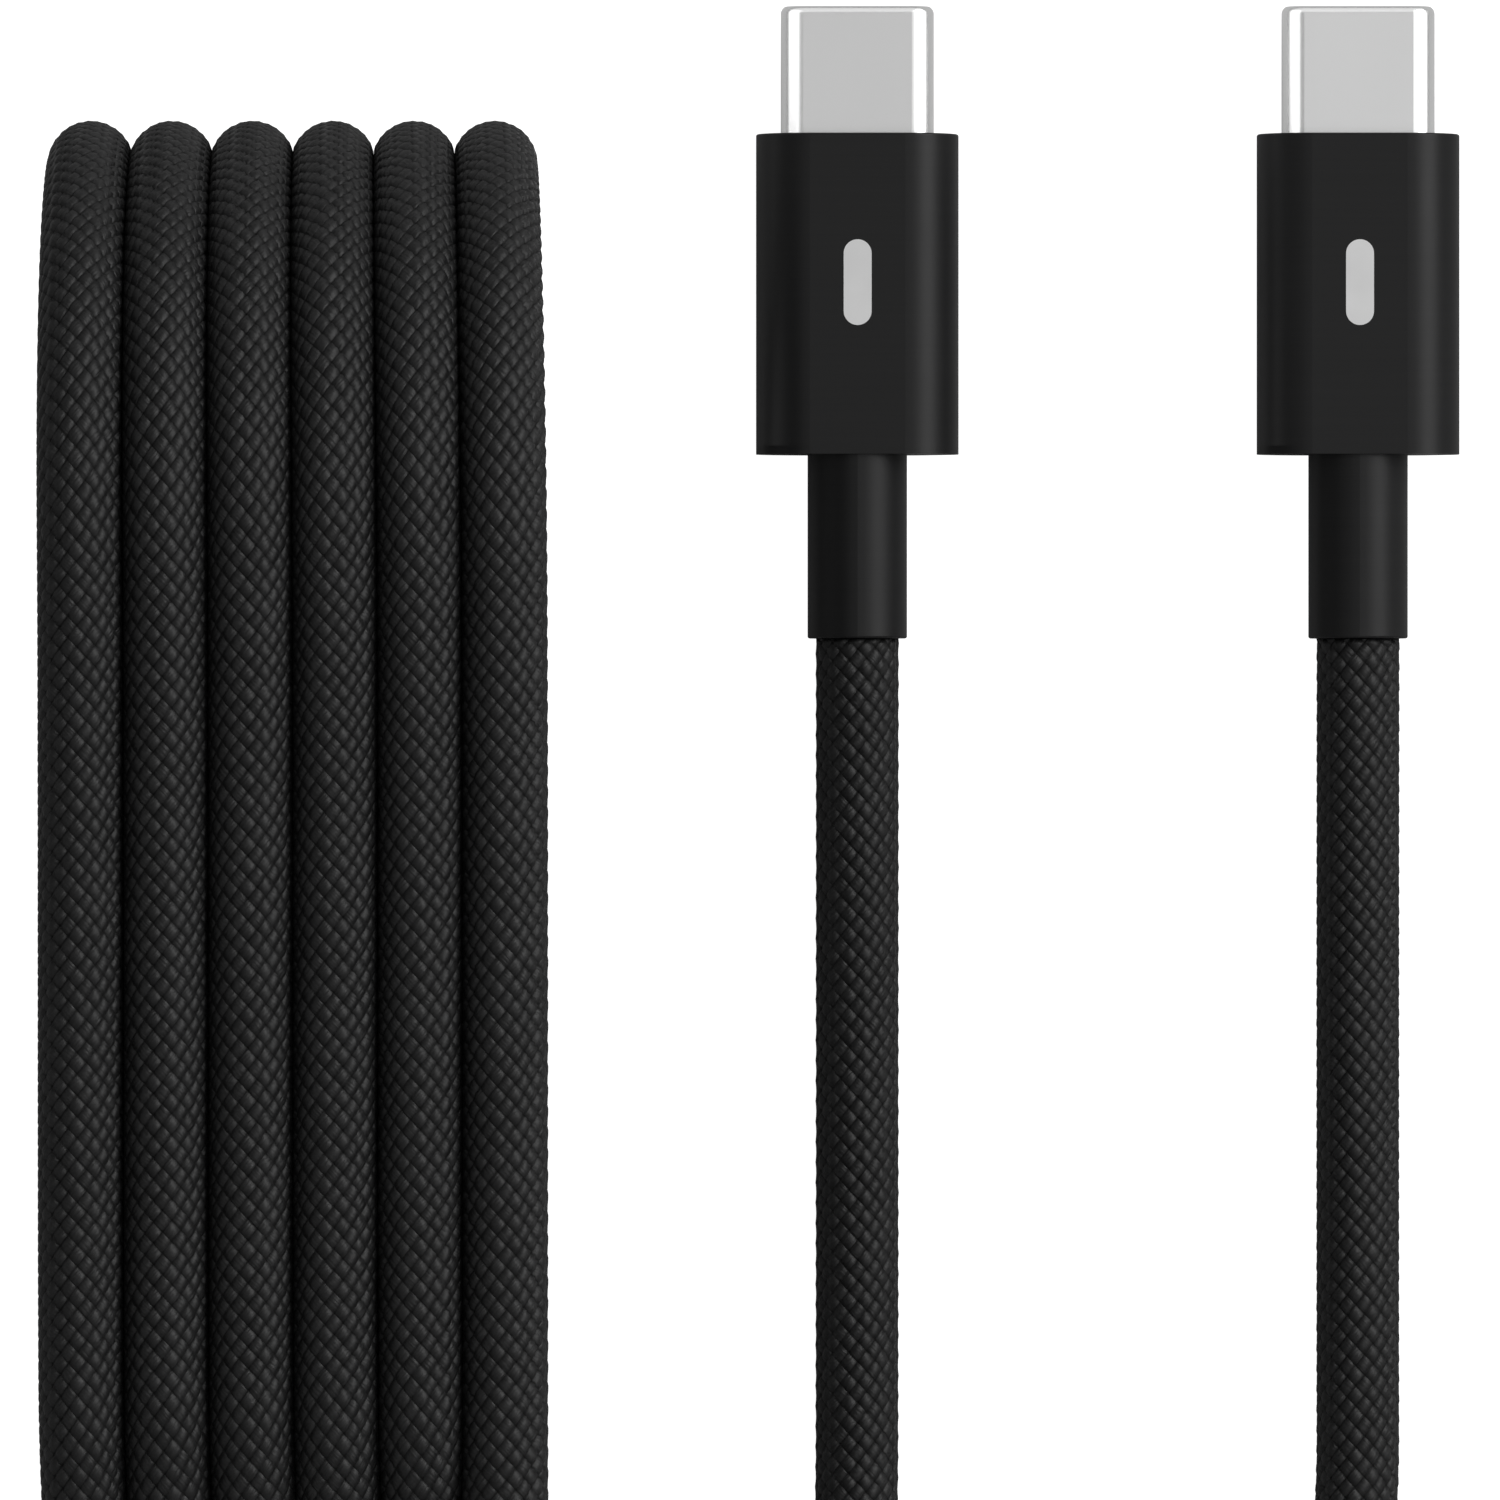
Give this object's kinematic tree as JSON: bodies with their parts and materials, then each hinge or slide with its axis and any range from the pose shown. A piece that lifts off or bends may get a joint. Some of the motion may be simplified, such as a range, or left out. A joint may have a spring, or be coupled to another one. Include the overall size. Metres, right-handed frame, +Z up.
{
  "type": "charging cable",
  "caption": "Braided charging cable with a reversible slim plug in a metal housing on each end, its spare length wound in a hank of upright turns.",
  "frame": {"origin": "on the surface the cable lies on, under the point midway between the two plugs, at half their length", "axes": "+Z up from the surface; +Y along both plugs towards their mouths; +X from plug a, beside the hank, to plug b"},
  "size_m": [0.0748, 0.1113, 0.0455],
  "materials": {
    "plated_steel": "satin nickel plate",
    "black_plastic": "moulded",
    "gold_contact": "gold plate",
    "spring_steel": "stamped",
    "circuit_board": "solder mask",
    "ceramic": "fired ceramic",
    "tinned_steel": "tin plate",
    "white_plastic": "low-pressure mould",
    "black_housing": "black anodised, finely brushed round its girth",
    "black_relief": "black anodised, finely turned",
    "grey_print": "printed",
    "cord_jacket": "extruded",
    "cord_braid": "braided nylon",
    "tie_fabric": "woven hook-and-loop tape",
    "red_insulation": "extruded",
    "white_insulation": "extruded",
    "green_insulation": "extruded",
    "blue_insulation": "extruded",
    "black_insulation": "extruded",
    "bare_copper": "tinned copper strands"
  },
  "bodies": {
    "root": {"shell_a": "plated_steel", "insulator_a": "black_plastic", "upper_contacts_a": "gold_contact", "lower_contacts_a": "gold_contact", "upper_ground_spring_a": "spring_steel", "lower_ground_spring_a": "spring_steel", "latch_spring_a": "spring_steel", "paddle_card_a": "circuit_board", "bypass_capacitor_a": "ceramic", "upper_shield_a": "tinned_steel", "lower_shield_a": "tinned_steel", "inner_mould_a": "white_plastic", "housing_a": "black_housing", "rear_cap_a": "black_housing", "strain_relief_a": "black_relief", "crimp_ring_a": "tinned_steel", "cord_stub_a": "cord_jacket", "orientation_mark_a": "grey_print", "power_wire_a": "red_insulation", "data_minus_wire_a": "white_insulation", "data_plus_wire_a": "green_insulation", "sense_wire_a": "blue_insulation", "ground_wire_a": "black_insulation", "drain_wire_a": "bare_copper", "shell_b": "plated_steel", "insulator_b": "black_plastic", "upper_contacts_b": "gold_contact", "lower_contacts_b": "gold_contact", "upper_ground_spring_b": "spring_steel", "lower_ground_spring_b": "spring_steel", "latch_spring_b": "spring_steel", "paddle_card_b": "circuit_board", "bypass_capacitor_b": "ceramic", "upper_shield_b": "tinned_steel", "lower_shield_b": "tinned_steel", "inner_mould_b": "white_plastic", "housing_b": "black_housing", "rear_cap_b": "black_housing", "strain_relief_b": "black_relief", "crimp_ring_b": "tinned_steel", "cord_stub_b": "cord_jacket", "orientation_mark_b": "grey_print", "power_wire_b": "red_insulation", "data_minus_wire_b": "white_insulation", "data_plus_wire_b": "green_insulation", "sense_wire_b": "blue_insulation", "ground_wire_b": "black_insulation", "drain_wire_b": "bare_copper", "cord_a": "cord_braid", "cord_b": "cord_braid", "cord_hank": "cord_braid", "tie": "tie_fabric"}
  },
  "joints": []
}
